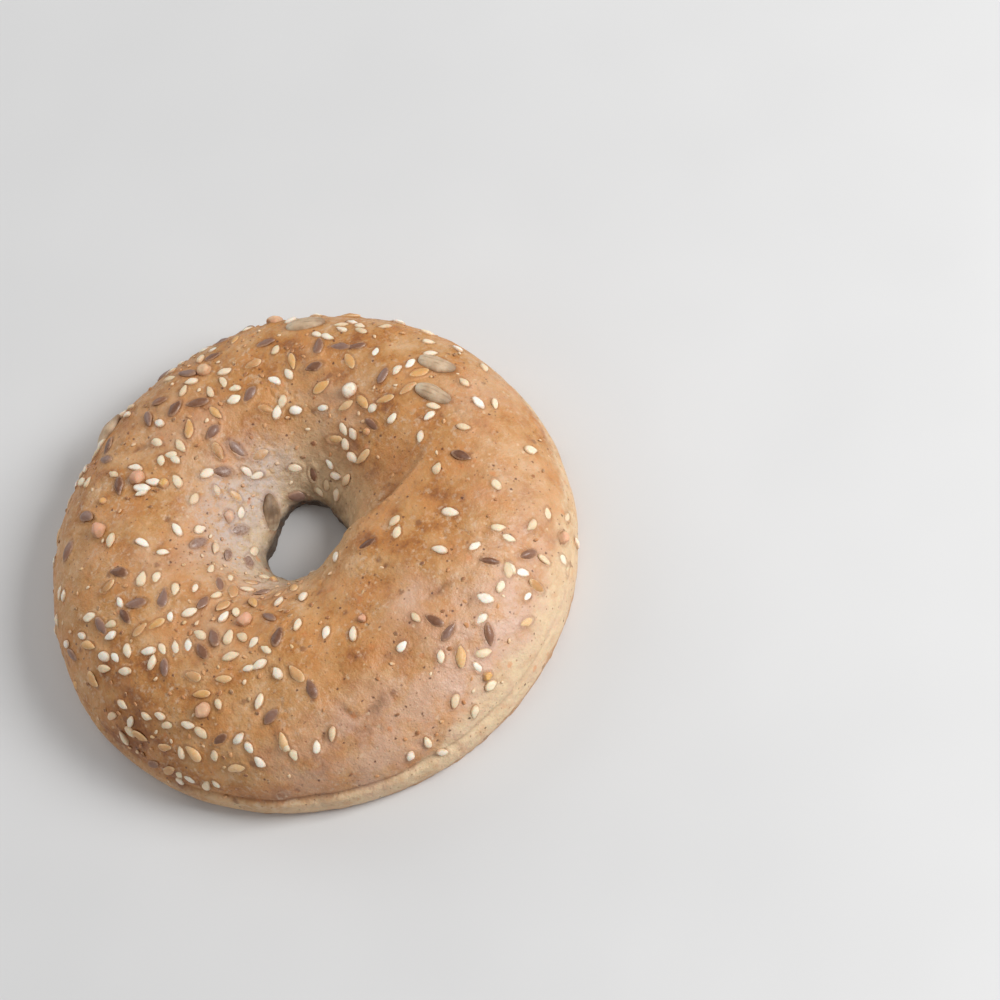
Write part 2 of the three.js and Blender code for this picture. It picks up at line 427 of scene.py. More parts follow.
# The crumb's pores: how many, their usual and largest radius, how those vary, how far they keep from
# both edges, how long they may be drawn, their depth, and the noise that makes their edges uneven
PORES = 1900
PORE_RADIUS = 0.38
PORE_SPREAD = 0.8
LARGEST_PORE = 3.4
PORE_MARGIN = 2.5
PORE_STRETCH = 1.7
PORE_DEPTH = 1.1
PORE_SHIFT_X = ((0.6, 2.2, 43), (0.25, 0.9, 44))
PORE_SHIFT_Y = ((0.6, 2.2, 45), (0.25, 0.9, 46))
CRUMB_GRAIN = ((0.12, 0.9, 41), (0.1, 2.2, 42))
RIM_BREADTH = (0.2, 1.4)

# How finely the bread is divided
STEPS_ROUND = 900
CRUST_STEPS = 280
CUT_FACE_STEPS = 104


def wave(phi, mean, terms):
    """A value with its waves round the ring."""
    waves = [size * np.cos(times * (phi - math.radians(toward))) for times, size, toward in terms]
    return mean + sum(waves)


def swell(phi, mean, terms):
    """A value with its local changes round the ring."""
    total = mean
    for toward, breadth, size in terms:
        off = (phi - math.radians(toward) + math.pi) % TAU - math.pi
        total = total + size * np.exp(-((off / math.radians(breadth)) ** 2))
    return total


def smoothstep(x, low, high):
    """Rises smoothly from 0 at low to 1 at high."""
    share = np.clip((x - low) / (high - low), 0, 1)
    return share * share * (3 - 2 * share)


def section(phi, s, width):
    """How far in from the outline, and how high, the section is at shares s of the way to the hole."""
    height = wave(phi, HEIGHT, HEIGHT_WAVES)
    crest = swell(phi, CREST_SHARE, CREST_SWELLS)
    foot = np.clip(s / AT_WAIST, 0, 1)
    in_foot = OUTER_TUCK * (1 - foot) ** 2
    z_foot = WAIST_Z * foot

    turn = np.clip((s - AT_WAIST) / (AT_CREST - AT_WAIST), 0, 1) * QUARTER
    power = 2 / OUTER_FULLNESS
    z_side = WAIST_Z + (height - WAIST_Z) * np.sin(turn) ** power
    lip = swell(phi, LIP_DEPTH, LIP_SWELLS) * smoothstep(z_side, *LIP_STEP)
    in_side = width * crest * (1 - np.maximum(np.cos(turn), 0) ** power)
    in_side = in_side + lip * np.exp(-np.maximum(z_side - LIP_Z, 0) / LIP_FADE)

    turn = np.clip((s - AT_CREST) / (AT_THROAT - AT_CREST), 0, 1) * QUARTER
    full = swell(phi, INNER_FULLNESS, FULLNESS_SWELLS)
    fall = np.maximum(1 - np.sin(turn) ** (2 + full), 0) ** (0.9 - 0.5 * full)
    in_hole = width * (crest + (1 - crest) * np.sin(turn))
    z_hole = THROAT_Z + (height - THROAT_Z) * fall

    throat = np.clip((s - AT_THROAT) / (1 - AT_THROAT), 0, 1)
    in_throat = width - HOLE_FLARE * throat**2
    z_throat = THROAT_Z * (1 - throat)
    stretches = [s < AT_WAIST, s < AT_CREST, s < AT_THROAT]
    inward = np.select(stretches, [in_foot, in_side, in_hole], in_throat)
    return inward, np.select(stretches, [z_foot, z_side, z_hole], z_throat)


def relief(x, y, z):
    """How much the lumps, dents and fold raise the crust."""
    firm = smoothstep(z, *LUMPS_FROM_Z)
    rise = 0
    for length, toward, size in LUMPS:
        along = x * math.cos(math.radians(toward)) + y * math.sin(math.radians(toward))
        rise = rise + firm * size * np.sin(TAU / length * along)
    for at_x, at_y, radius, depth in DENTS:
        rise = rise - firm * depth * np.exp(-((x - at_x) ** 2 + (y - at_y) ** 2) / radius**2)
    past = y - FOLD_MIDDLE[1] - FOLD_BEND * (x - FOLD_MIDDLE[0]) ** 2
    step = smoothstep(past, 0, FOLD_WIDTH) * np.exp(-((np.maximum(past, 0) / FOLD_REACH) ** 2))
    run = smoothstep(x, *FOLD_START) * (1 - smoothstep(x, *FOLD_FADE))
    return rise - smoothstep(z, *FOLD_FROM_Z) * FOLD_DEPTH * step * run


def crust_points(phi, s):
    """Points of the crust at angles phi and at shares s of the way along the section."""
    phi, s = np.broadcast_arrays(np.asarray(phi, float), np.asarray(s, float))
    out = wave(phi, OUTER_RADIUS, OUTLINE_WAVES)
    hole = wave(phi, HOLE_RADIUS, HOLE_WAVES)
    dx = HOLE_CENTRE[0] + (hole - out) * np.cos(phi)
    dy = HOLE_CENTRE[1] + (hole - out) * np.sin(phi)
    width = np.hypot(dx, dy)
    inward, z = section(phi, s, width)
    x = out * np.cos(phi) + dx / width * inward
    y = out * np.sin(phi) + dy / width * inward
    return np.stack([x + RING_SHIFT[0], y + RING_SHIFT[1], z + relief(x, y, z)], -1)


def unit(vectors):
    """The vectors, each made one long."""
    return vectors / np.maximum(np.linalg.norm(vectors, axis=-1, keepdims=True), 1e-9)


def crust_normals(phi, s):
    """Outward normals of the crust there."""
    step = 0.005
    along_ring = crust_points(phi + step, s) - crust_points(phi - step, s)
    along_section = crust_points(phi, s + step) - crust_points(phi, s - step)
    return unit(np.cross(along_ring, along_section))


def draws(state, count):
    """Repeatable random numbers from 0 to 1, the same as the CAD solid's."""
    numbers = []
    for _ in range(count):
        state = (state * DRAW_FACTOR + DRAW_STEP) % WHOLE
        numbers.append(state / WHOLE)
    return np.array(numbers)


def seed_weight(points):
    """How thickly seeds lie at points of the crust, from 0 to 1."""
    weight = SEED_BACKGROUND
    for x, y, radius, share in SEED_PATCHES:
        weight = weight + share * np.exp(-((points[:, 0] - x) ** 2 + (points[:, 1] - y) ** 2) / radius**2)
    return np.minimum(weight, 1) * smoothstep(points[:, 2], *SEED_FOOT_Z)


def seed_size(name):
    """Length, width and thickness of a kind of seed."""
    return FRAGMENT_SIZE if name == "fragment" else SEED_KINDS[name][0]


def laid_seed(name, toward, s, turn, size):
    """A seed given in degrees, as its kind, angle, share, turn and size."""
    return name, math.radians(toward), s, math.radians(turn), size


def lay_out_seeds():
    """The seeds' kinds, angles, shares, turns and sizes, laid as in the CAD solid."""
    seeds = [laid_seed(*seed, 1.0) for seed in LAID_SEEDS]
    places = [crust_points(phi, s) for _, phi, s, _, _ in seeds]
    tries = draws(SEED_DRAW, 5 * SEED_TRIES).reshape(-1, 5)
    phi = tries[:, 0] * TAU
    s = AT_WAIST + tries[:, 1] * (AT_THROAT - AT_WAIST)
    points = crust_points(phi, s)
    ring_share = np.hypot(points[:, 0], points[:, 1]) / OUTER_RADIUS
    wanted = np.flatnonzero(tries[:, 2] <= seed_weight(points) * ring_share)
    sizes = SEED_SIZES[0] + (SEED_SIZES[1] - SEED_SIZES[0]) * tries[:, 4]
    queue = iter(wanted)
    for name, (_, count) in {**SEED_KINDS, "fragment": (FRAGMENT_SIZE, FRAGMENTS)}.items():
        placed = 0
        while placed < count:
            i = next(queue)
            lengths = seed_size(name)[0] + np.array([seed_size(other[0])[0] for other in seeds])
            room = SEED_GAP + SEED_ROOM * lengths
            if (np.linalg.norm(np.array(places) - points[i], axis=1) < room).any():
                continue
            seeds.append((name, phi[i], s[i], tries[i, 3] * TAU, sizes[i]))
            places.append(points[i])
            placed += 1
    return pair_up(seeds) + [laid_seed(*seed) for seed in BROKEN_SEEDS]


def pair_up(seeds):
    """Moves some of the sesame close against others, as seeds fall in twos and threes."""
    sesame = [i for i, seed in enumerate(seeds) if seed[0] == "sesame"]
    for i in sesame[PAIRS_FROM::PAIRS_EVERY]:
        name, _, _, turn, size = seeds[i]
        _, phi, s, _, _ = seeds[i - 1]
        x, y, _ = crust_points(phi, s)
        ring = math.hypot(x, y)
        beside = PAIR_GAP * np.array([math.cos(turn), math.sin(turn)])
        seeds[i] = (name, phi + beside[0] / ring, s + beside[1] / CRUST_LENGTH, turn, size)
    return seeds


def lattice(x, y, z, salt):
    """A repeatable random number from 0 to 1 for each whole-numbered point."""
    parts = [whole * factor for whole, factor in zip((x, y, z, salt), MIX_FACTORS)]
    mixed = sum(parts) & (WHOLE - 1)
    mixed = ((mixed ^ (mixed >> 13)) * MIX_FACTORS[-1]) & (WHOLE - 1)
    return ((mixed ^ (mixed >> 16)) & LOW_BITS) / LOW_BITS


def noise(points, size, salt):
    """Smooth noise from -1 to 1, in lumps of about size."""
    places = points / size
    corner = np.floor(places).astype(np.int64)
    share = places - corner
    share = share * share * (3 - 2 * share)
    total = 0
    for i in range(8):
        bits = np.array([i & 1, i >> 1 & 1, i >> 2 & 1])
        weight = np.prod(np.where(bits, share, 1 - share), axis=-1)
        at = corner + bits
        total = total + weight * lattice(at[..., 0], at[..., 1], at[..., 2], salt)
    return 2 * total - 1


def layered(points, layers):
    """Noise in several layers, each as strength, size and salt."""
    return sum(strength * noise(points, size, salt) for strength, size, salt in layers)


def seed_frames(seeds):
    """Each seed's middle and its three axes: along, across and up."""
    frames = []
    for name, phi, s, turn, size in seeds:
        point, normal = crust_points(phi, s), crust_normals(phi, s)
        upright = Vector((0, 0, 1)).rotation_difference(Vector(normal)).to_matrix()
        axes = np.array(upright @ Matrix.Rotation(turn, 3, "Z")).T
        middle = point + normal * SEED_LIFT * size * seed_size(name)[2]
        frames.append((middle, axes))
    return frames


def seed_seats(points, phi, seeds, frames):
    """How much the dough rises round each seed that sank in, and how dark the painted shade in the gap
    beside the seed is.
    """
    rise, painted_seed_shade = np.zeros(points.shape[:2]), np.zeros(points.shape[:2])
    rows_near = int(SEAT_ROWS * CRUST_STEPS)
    for (name, seed_phi, seed_s, _, size), (middle, axes) in zip(seeds, frames):
        if name == "fragment":
            continue
        length, width, thickness = SEED_KINDS[name][0]
        row = int(round(seed_s * CRUST_STEPS))
        rows = slice(max(row - rows_near, 0), min(row + rows_near, CRUST_STEPS) + 1)
        near = np.abs((phi - seed_phi + math.pi) % TAU - math.pi) < SEAT_REACH / np.hypot(*middle[:2])
        columns = np.flatnonzero(near)
        local = (points[columns, rows] - middle) @ axes.T
        reach = np.hypot(local[..., 0] / length, local[..., 1] / width) * 2 / size
        level = np.abs(local[..., 2]) < 2 * thickness
        lift = SEAT_RISE * np.exp(-(((reach - 1) / SEAT_BREADTH) ** 2)) * level
        rise[columns, rows] = np.maximum(rise[columns, rows], lift)
        shade = SEED_SHADE_DARKNESS * np.exp(-(((reach - 1) / SEED_SHADE_BREADTH) ** 2)) * level
        painted_seed_shade[columns, rows] = np.maximum(painted_seed_shade[columns, rows], shade)
    return rise, painted_seed_shade


def flouring(points):
    """How floury the crust is at points, most beside the hole on the left, from 0 to 1."""
    dx, dy = points[..., 0] - HOLE_CENTRE[0], points[..., 1] - HOLE_CENTRE[1]
    flour = swell(np.arctan2(dy, dx), 0, FLOUR_SWELLS)
    flour = flour * np.exp(-(((np.hypot(dx, dy) - FLOUR_MIDDLE) / FLOUR_REACH) ** 2))
    return np.clip(flour * (0.8 + layered(points, FLOUR_NOISE)), 0, 1)


def marking(points):
    """The depth and the darkness of the marks at points, the darkness partly painted shade in the creases
    and pits.
    """
    ragged = layered(points, MARK_NOISE)
    broken = np.clip(0.75 + layered(points, MARK_GAPS), 0, 1.2)
    depths, darkness = 0, 0
    for at_x, at_y, length, breadth, turn, depth, dark in MARKS:
        dx, dy, lean = points[..., 0] - at_x, points[..., 1] - at_y, math.radians(turn)
        along = (dx * math.cos(lean) + dy * math.sin(lean)) / length
        across = (dy * math.cos(lean) - dx * math.sin(lean)) / breadth
        share = np.exp(-4 * along**2 - (2 * across + ragged) ** 2)
        depths = depths + depth * share
        darkness = np.maximum(darkness, dark * share)
    return depths, darkness * broken


def fine_relief(points, phi):
    """The crust's blisters, its thin creases, and its torn edges at the cut and in the hole."""
    x, y, z = points[..., 0], points[..., 1], points[..., 2]
    from_hole = np.hypot(x - HOLE_CENTRE[0], y - HOLE_CENTRE[1])
    crease = smoothstep(1 - np.abs(layered(points, WRINKLES)), *CREASE_FLANKS)
    crease = crease * smoothstep(noise(points, 6, 7), 0.1, 0.6)
    flour = FLOUR_GRAIN * flouring(points) * noise(points, 1.1, 9)
    skin = layered(points, BLISTERS) - CREASE_DEPTH * crease + flour
    edge = 1 - smoothstep(z, *TORN_Z)
    throat = (1 - smoothstep(z, *THROAT_TORN_Z)) * (from_hole < THROAT_REACH)
    inside = 0.6 * (1 - smoothstep(from_hole, *TORN_FROM_HOLE))
    ragged = layered(points, TEARS) * np.maximum(np.maximum(edge, inside), 2 * throat)
    ragged = ragged + throat * swell(phi, 0, THROAT_SWELLS)
    from_groove = (z - LIP_Z - GROOVE_RISE) / GROOVE_BREADTH
    groove = GROOVE_DEPTH * np.exp(-(from_groove**2)) * swell(phi, 0, GROOVE_SWELLS)
    ledge = smoothstep(z, LIP_Z - LEDGE_FLANK, LIP_Z + LEDGE_FLANK)
    ledge = ledge * np.exp(-np.maximum(z - LIP_Z, 0) / LEDGE_FADE)
    filling = ledge * swell(phi, 0, LEDGE_FILL_SWELLS)
    side = (filling - groove) * (from_hole > OUTSIDE_FROM)
    return (skin - marking(points)[0]) * smoothstep(z, *RELIEF_FROM_Z) + ragged + side


def crust_grid(seeds, frames):
    """The crust's points with and without its fine relief, its normals, and the painted shade in the gaps
    beside the seeds.
    """
    phi = np.arange(STEPS_ROUND) * TAU / STEPS_ROUND
    s = np.arange(CRUST_STEPS + 1) / CRUST_STEPS
    bare = crust_points(phi[:, None], s[None, :])
    normals = crust_normals(phi[:, None], s[None, :])
    rise, painted_seed_shade = seed_seats(bare, phi, seeds, frames)
    fine = fine_relief(bare, phi[:, None]) + rise
    points = bare + normals * fine[..., None]
    points[:, [0, -1], 2] = 0
    points[..., 2] = np.maximum(points[..., 2], 0)
    return points, bare, normals, painted_seed_shade


def make_mesh(name, points, faces):
    """A smooth mesh object from points in millimetres and faces with equal numbers of corners."""
    mesh = bpy.data.meshes.new(name)
    mesh.vertices.add(len(points))
    mesh.vertices.foreach_set("co", (np.asarray(points) * MM).astype(np.float32).ravel())
    corners = faces.shape[1]
    mesh.loops.add(faces.size)
    mesh.loops.foreach_set("vertex_index", faces.astype(np.int32).ravel())
    mesh.polygons.add(len(faces))
    mesh.polygons.foreach_set("loop_start", np.arange(len(faces), dtype=np.int32) * corners)
    mesh.polygons.foreach_set("use_smooth", np.full(len(faces), True))
    mesh.update(calc_edges=True)
    mesh.validate()
    obj = bpy.data.objects.new(name, mesh)
    bpy.context.scene.collection.objects.link(obj)
    return obj


def add_attribute(obj, name, values):
    """Keeps one number at each vertex for the material to read."""
    attribute = obj.data.attributes.new(name, "FLOAT", "POINT")
    attribute.data.foreach_set("value", np.asarray(values, np.float32).ravel())


def zone(points, zones):
    """The zones' weights at points, added up, with wavering edges."""
    x = points[..., 0] + layered(points, ZONE_SHIFT_X)
    y = points[..., 1] + layered(points, ZONE_SHIFT_Y)
    total = 0
    for at_x, at_y, radius, weight in zones:
        total = total + weight * np.exp(-((x - at_x) ** 2 + (y - at_y) ** 2) / radius**2)
    return total


def crust_tones(points, normals, phi):
    """What the crust's material needs to know at each point, each from 0 to 1."""
    x, y, z = points[..., 0], points[..., 1], points[..., 2]
    from_hole = np.hypot(x - HOLE_CENTRE[0], y - HOLE_CENTRE[1])
    wall = (1 - smoothstep(z, *WALL_Z)) * (1 - smoothstep(from_hole, *WALL_FROM_HOLE))
    steep = 1 - smoothstep(normals[..., 2], *RIDGE_SLOPE)
    steep = steep * (1 - smoothstep(from_hole, *RIDGE_FROM_HOLE))
    waver = layered(points, EDGE_WAVER)
    outside = from_hole > OUTSIDE_FROM
    lip_top = swell(phi, LIP_TOP, LIP_TOP_SWELLS)
    spread = 0.4 * (lip_top - LIP_TOP) + 0.5
    lip = (1 - smoothstep(z + spread * waver, lip_top - spread, lip_top + spread)) * outside
    lip = lip * swell(phi, LIP_PALENESS, LIP_PALE_SWELLS)
    # Painted shade: a browner band over the lip, and a dark line in the groove
    from_shade_band = (z - LIP_Z - SHADE_BAND_RISE) / SHADE_BAND_BREADTH
    painted_shade_band = np.exp(-(from_shade_band**2)) * outside * swell(phi, 0, SHADE_BAND_SWELLS)
    from_groove_shade = (z - LIP_Z - GROOVE_SHADE_RISE + 0.3 * waver) / GROOVE_SHADE_BREADTH
    painted_groove_shade = np.exp(-(from_groove_shade**2)) * outside * swell(phi, 0, GROOVE_SWELLS)
    toasted = 1 - smoothstep(z + waver - swell(phi, 0, TOASTED_SWELLS), *TOASTED_Z)
    # Painted shade, near black, at the bottom of the hole
    throat = (1 - smoothstep(z + 1.6 * waver, *HOLE_SHADE_Z)) * (from_hole < THROAT_REACH)
    return {
        # The brown level, with the band of painted shade over the lip added
        "brown": BROWN + zone(points, BROWNER) + layered(points, BROWN_PATCHES) + painted_shade_band,
        "pink": zone(points, PINKER),
        "flour": flouring(points),
        "ridge": steep * swell(phi, 0, RIDGE_SWELLS),
        "wall": wall,
        "lip": lip,
        "toasted": 0.9 * toasted * (1 - throat),
        "painted_hole_shade": throat,
        "mark": np.maximum(marking(points)[1], 0.6 * painted_groove_shade),
    }


def bread(seeds, frames):
    """The half itself: the crust from the outer cut edge to the hole's, and the cut face, in one mesh."""
    crust, bare, normals, painted_seed_shade = crust_grid(seeds, frames)
    phi = (np.arange(STEPS_ROUND) * TAU / STEPS_ROUND)[:, None]
    share = (np.arange(1, CUT_FACE_STEPS) / CUT_FACE_STEPS)[None, :]
    face = crust[:, -1:] * (1 - share[..., None]) + crust[:, :1] * share[..., None]
    rim = np.minimum(share, 1 - share) * (OUTER_RADIUS - HOLE_RADIUS) + 0 * phi
    pore = crumb_pores(face) * smoothstep(rim, *RIM_BREADTH)
    face[..., 2] = pore
    grid = np.concatenate([crust, face], axis=1)
    rows = grid.shape[1]
    index = np.arange(STEPS_ROUND * rows).reshape(STEPS_ROUND, rows)
    beside = np.roll(index, -1, axis=0)
    quads = np.stack([index, beside, np.roll(beside, -1, axis=1), np.roll(index, -1, axis=1)], -1)
    obj = make_mesh("bread", grid.reshape(-1, 3), quads.reshape(-1, 4))
    kinds = np.zeros((STEPS_ROUND, rows), np.int32)
    kinds[:, CRUST_STEPS:] = 1
    obj.data.polygons.foreach_set("material_index", kinds.ravel())
    tones = crust_tones(bare, normals, phi)
    # The painted shade beside the seeds darkens the crust through the marks' colour
    tones["mark"] = np.maximum(tones["mark"], painted_seed_shade)
    for name, values in tones.items():
        add_attribute(obj, name, np.concatenate([values, 0 * pore], 1))
    add_attribute(obj, "pore", np.concatenate([0 * crust[..., 0], pore], 1))
    add_attribute(obj, "rim", np.concatenate([0 * crust[..., 0], rim], 1))
    obj.data.materials.append(crust_material())
    obj.data.materials.append(crumb_material())
    return obj


def crumb_pores(face):
    """How deep the crumb's pores are at points of the cut face."""
    random = np.random.RandomState(7)
    depth = np.zeros(face.shape[:2])
    x = face[..., 0] + layered(face, PORE_SHIFT_X)
    y = face[..., 1] + layered(face, PORE_SHIFT_Y)
    for _ in range(PORES):
        radius = min(PORE_RADIUS * math.exp(abs(random.normal(0, PORE_SPREAD))), LARGEST_PORE)
        reach = random.uniform(HOLE_RADIUS + PORE_MARGIN, OUTER_RADIUS - PORE_MARGIN)
        toward = random.uniform(0, TAU)
        stretch = random.uniform(1, PORE_STRETCH)
        lean = random.uniform(0, TAU)
        dx = x - reach * math.cos(toward) - HOLE_CENTRE[0] / 2
        dy = y - reach * math.sin(toward) - HOLE_CENTRE[1] / 2
        along = (dx * math.cos(lean) + dy * math.sin(lean)) / (radius * stretch)
        across = (dy * math.cos(lean) - dx * math.sin(lean)) / radius
        hollow = np.sqrt(np.maximum(1 - along**2 - across**2, 0))
        depth = np.maximum(depth, PORE_DEPTH * radius * hollow)
    least = sum(strength for strength, _, _ in CRUMB_GRAIN)
    return depth + least + layered(face, CRUMB_GRAIN)


# Shapes of the seeds


def faceted(points, cuts, depth):
    """The points of a round shape with flat facets cut off it, each to a depth."""
    random = np.random.RandomState(cuts)
    for toward in unit(random.normal(size=(cuts, 3))):
        over = np.maximum(points @ toward - (0.5 - depth * random.uniform(0.3, 1)), 0)
        points = points - over[:, None] * toward
    return points


def drop_shape(sides, rings, taper, edge=1.0, end=1.0):
    """A closed drop along X, one long, narrow at one end."""
    # Edge is 1 for a round side and more for a sharp one, end is 1 for round ends and less for blunt ones
    theta = (np.arange(1, rings) / rings * math.pi)[:, None]
    around = (np.arange(sides) / sides * TAU)[None, :]
    x = -0.5 * np.cos(theta) + 0 * around
    radius = 0.5 * np.sin(theta) ** end * (1 - taper * 2 * np.maximum(x, 0))
    y = radius * np.cos(around)
    z = radius * np.sign(np.sin(around)) * np.abs(np.sin(around)) ** edge
    points = np.concatenate([[[-0.5, 0, 0]], np.stack([x, y, z], -1).reshape(-1, 3), [[0.5, 0, 0]]])
    grid = 1 + np.arange((rings - 1) * sides).reshape(rings - 1, sides)
    turn = np.roll(grid, -1, axis=1)
    faces = []
    for ring in range(rings - 2):
        quad = [grid[ring], turn[ring], turn[ring + 1], grid[ring + 1]]
        faces.append(np.stack([quad[0], quad[3], quad[2]], -1))
        faces.append(np.stack([quad[0], quad[2], quad[1]], -1))
    faces.append(np.stack([np.zeros(sides, int), grid[0], turn[0]], -1))
    last = np.full(sides, len(points) - 1)
    faces.append(np.stack([last, turn[-1], grid[-1]], -1))
    return points, np.concatenate(faces)


def seed_points(kind, size, base, cuts, random):
    """One seed's points round its own middle, uneven in its own way."""
    share = UNEVENNESS.get(kind, 1)
    least, most = 1 - share * np.array(SHRINKAGE), 1 + share * np.array(GROWTH)
    stretch = np.array(seed_size(kind)) * size * random.uniform(least, most)
    lean = Matrix.Rotation(random.uniform(-SEED_TILTS[0], SEED_TILTS[0]), 3, "X")
    tilt = lean @ Matrix.Rotation(random.uniform(-SEED_TILTS[1], SEED_TILTS[1]), 3, "Y")
    points = (faceted(base, cuts, FACET_DEPTH) if cuts else base) * stretch
    height, breadth = SEED_LUMPS
    lumps = noise(points + random.uniform(0, 500), breadth * stretch[1], 51)
    points = points + height * stretch[1] * lumps[:, None] * unit(points)
    bend = random.uniform(-SEED_BEND, SEED_BEND) * base[:, 0] ** 2
    skew = random.uniform(-SEED_SKEW, SEED_SKEW) * base[:, 0] * base[:, 1]
    points[:, 1] += (bend + skew) * stretch[1]
    return points @ np.array(tilt).T


def seed_piece(name, kind, seeds, frames, shape, material, tones_first, cuts):
    """All the seeds of one kind as one mesh, each with its own tone and its own small unevenness."""
    random = np.random.RandomState(sum(map(ord, name)))
    base, faces = shape
    of_kind = [(seed[4], *frame) for seed, frame in zip(seeds, frames) if seed[0] == kind]
    all_points, all_faces = [], []
    kept = {label: [] for label in ("tone", "dust", "dark", "along", "across")}
    for number, (size, middle, axes) in enumerate(of_kind):
        points = seed_points(kind, size, base, cuts and cuts + number, random)
        all_points.append(points @ axes + middle)
        all_faces.append(faces + len(base) * number)
        own = random.uniform(0, 1)
        kept["tone"].append(np.full(len(base), tones_first[number] if number < len(tones_first) else own))
        kept["dust"].append(np.full(len(base), flouring(middle)))
        kept["dark"].append(np.full(len(base), middle[2] < DARK_BELOW))
        kept["along"].append(base[:, 0])
        kept["across"].append(base[:, 1])
    obj = make_mesh(name, np.concatenate(all_points), np.concatenate(all_faces))
    for label, values in kept.items():
        add_attribute(obj, label, np.concatenate(values))
    obj.data.materials.append(material)
    return obj


# Materials


def colour(red, green, blue):
    """An sRGB colour, each part from 0 to 255, as the linear colour that nodes hold."""
    parts = [c / 255 for c in (red, green, blue)]
    return tuple(c / 12.92 if c <= 0.04045 else ((c + 0.055) / 1.055) ** 2.4 for c in parts) + (1.0,)


class Nodes:
    """A node material in the making."""

    def __init__(self, name):
        self.material = bpy.data.materials.new(name)
        self.material.use_nodes = True
        self.tree = self.material.node_tree
        self.shader = self.tree.nodes["Principled BSDF"]
        coordinates = self.add("ShaderNodeTexCoord")
        self.position = coordinates.outputs["Object"]

    def add(self, kind, inputs=None, **settings):
        """Adds a node. Inputs are values, or sockets to link."""
        node = self.tree.nodes.new(kind)
        for key, value in settings.items():
            setattr(node, key, value)
        for key, value in (inputs or {}).items():
            self.put(node.inputs[key], value)
        return node

    def put(self, socket, value):
        """Links a socket to an input, or sets it."""
        if isinstance(value, bpy.types.NodeSocket):
            self.tree.links.new(value, socket)
        else:
            socket.default_value = value

    def read(self, name):
        """The number kept at each vertex under this name."""
        return self.add("ShaderNodeAttribute", attribute_name=name).outputs["Fac"]

    def noise(self, size, detail=3.0, roughness=0.55):
        """Noise from 0 to 1, in lumps of about size in millimetres."""
        node = self.add(
            "ShaderNodeTexNoise",
            {"Vector": self.position, "Scale": 1 / (size * MM), "Detail": detail, "Roughness": roughness},
        )
        return node.outputs["Fac"]

    def math(self, operation, *values, clamp=False):
        """A calculation with values or sockets."""
        node = self.add("ShaderNodeMath", operation=operation, use_clamp=clamp)
        for socket, value in zip(node.inputs, values):
            self.put(socket, value)
        return node.outputs[0]

    def spread(self, value, low, high, to_low=0.0, to_high=1.0):
        """Maps a value's range to another, held at its ends."""
        node = self.add(
            "ShaderNodeMapRange",
            {"Value": value, "From Min": low, "From Max": high, "To Min": to_low, "To Max": to_high},
        )
        return node.outputs["Result"]

    def mix(self, share, first, second):
        """A share of the second colour over the first."""
        node = self.add("ShaderNodeMix", data_type="RGBA")
        self.put(node.inputs["Factor"], share)
        self.put(node.inputs["A"], first)
        self.put(node.inputs["B"], second)
        return node.outputs["Result"]

    def ramp(self, value, stops):
        """A colour ramp of (place, colour) stops."""
        node = self.add("ShaderNodeValToRGB", {"Fac": value})
        while len(node.color_ramp.elements) < len(stops):
            node.color_ramp.elements.new(0.5)
        for element, (place, tint) in zip(node.color_ramp.elements, stops):
            element.position = place
            element.color = tint
        return node.outputs["Color"]

    def specks(self, spacing, radius, share):
        """1 in small uneven specks, one to each cell of about spacing, kept in a share of the cells."""
        ripple = self.add("ShaderNodeTexNoise", {"Vector": self.position, "Scale": 1 / (radius * MM)})
        reach = (1.4 * radius * MM,) * 3
        place = self.add("ShaderNodeVectorMath", operation="MULTIPLY_ADD")
        for socket, value in zip(place.inputs, (ripple.outputs["Color"], reach, self.position)):
            self.put(socket, value)
        scale = 1 / (spacing * MM)
        cells = self.add("ShaderNodeTexVoronoi", {"Vector": place.outputs["Vector"], "Scale": scale})
        picked = self.add("ShaderNodeSeparateColor", {"Color": cells.outputs["Color"]})
        kept = self.math("LESS_THAN", picked.outputs[0], share)
        near = self.spread(cells.outputs["Distance"], radius / spacing, 0.5 * radius / spacing)
        return self.math("MULTIPLY", kept, near)

    def bump(self, height, depth):
        """Bump of a given depth in millimetres for heights from 0 to 1."""
        node = self.add("ShaderNodeBump", {"Height": height, "Distance": depth * MM, "Strength": 1})
        self.put(self.shader.inputs["Normal"], node.outputs["Normal"])

    def finish(self, **constants):
        """Sets what is the same all over, and gives the material back."""
        for name, value in constants.items():
            self.shader.inputs[name.replace("_", " ")].default_value = value
        return self.material


def browning(n):
    """The skin's own colour, with painted shade in a band over the lip: browned in clouds, with orange
    patches and fine pale dust.
    """
    clouds = n.spread(n.noise(5.5, 5, 0.58), 0.34, 0.66, -0.32, 0.27)
    grain = n.spread(n.noise(0.9, 4, 0.6), 0.3, 0.7, -0.09, 0.09)
    level = n.math("ADD", n.math("ADD", n.read("brown"), clouds), grain)
    base = n.ramp(
        level,
        [
            (0.0, colour(212, 174, 134)),
            (0.3, colour(203, 155, 105)),
            (0.55, colour(190, 137, 80)),
            (0.8, colour(176, 115, 54)),
            (1.0, colour(146, 88, 40)),
        ],
    )
    orange = n.spread(n.noise(7, 4, 0.55), 0.47, 0.63, 0, 0.65)
    base = n.mix(orange, base, colour(202, 138, 78))
    fine_dust = n.spread(n.noise(1.2, 4, 0.6), 0.52, 0.66)
    dust = n.math("MULTIPLY", fine_dust, n.spread(n.noise(9, 3), 0.42, 0.6, 0.1, 0.6))
    return n.mix(dust, base, colour(212, 182, 152))


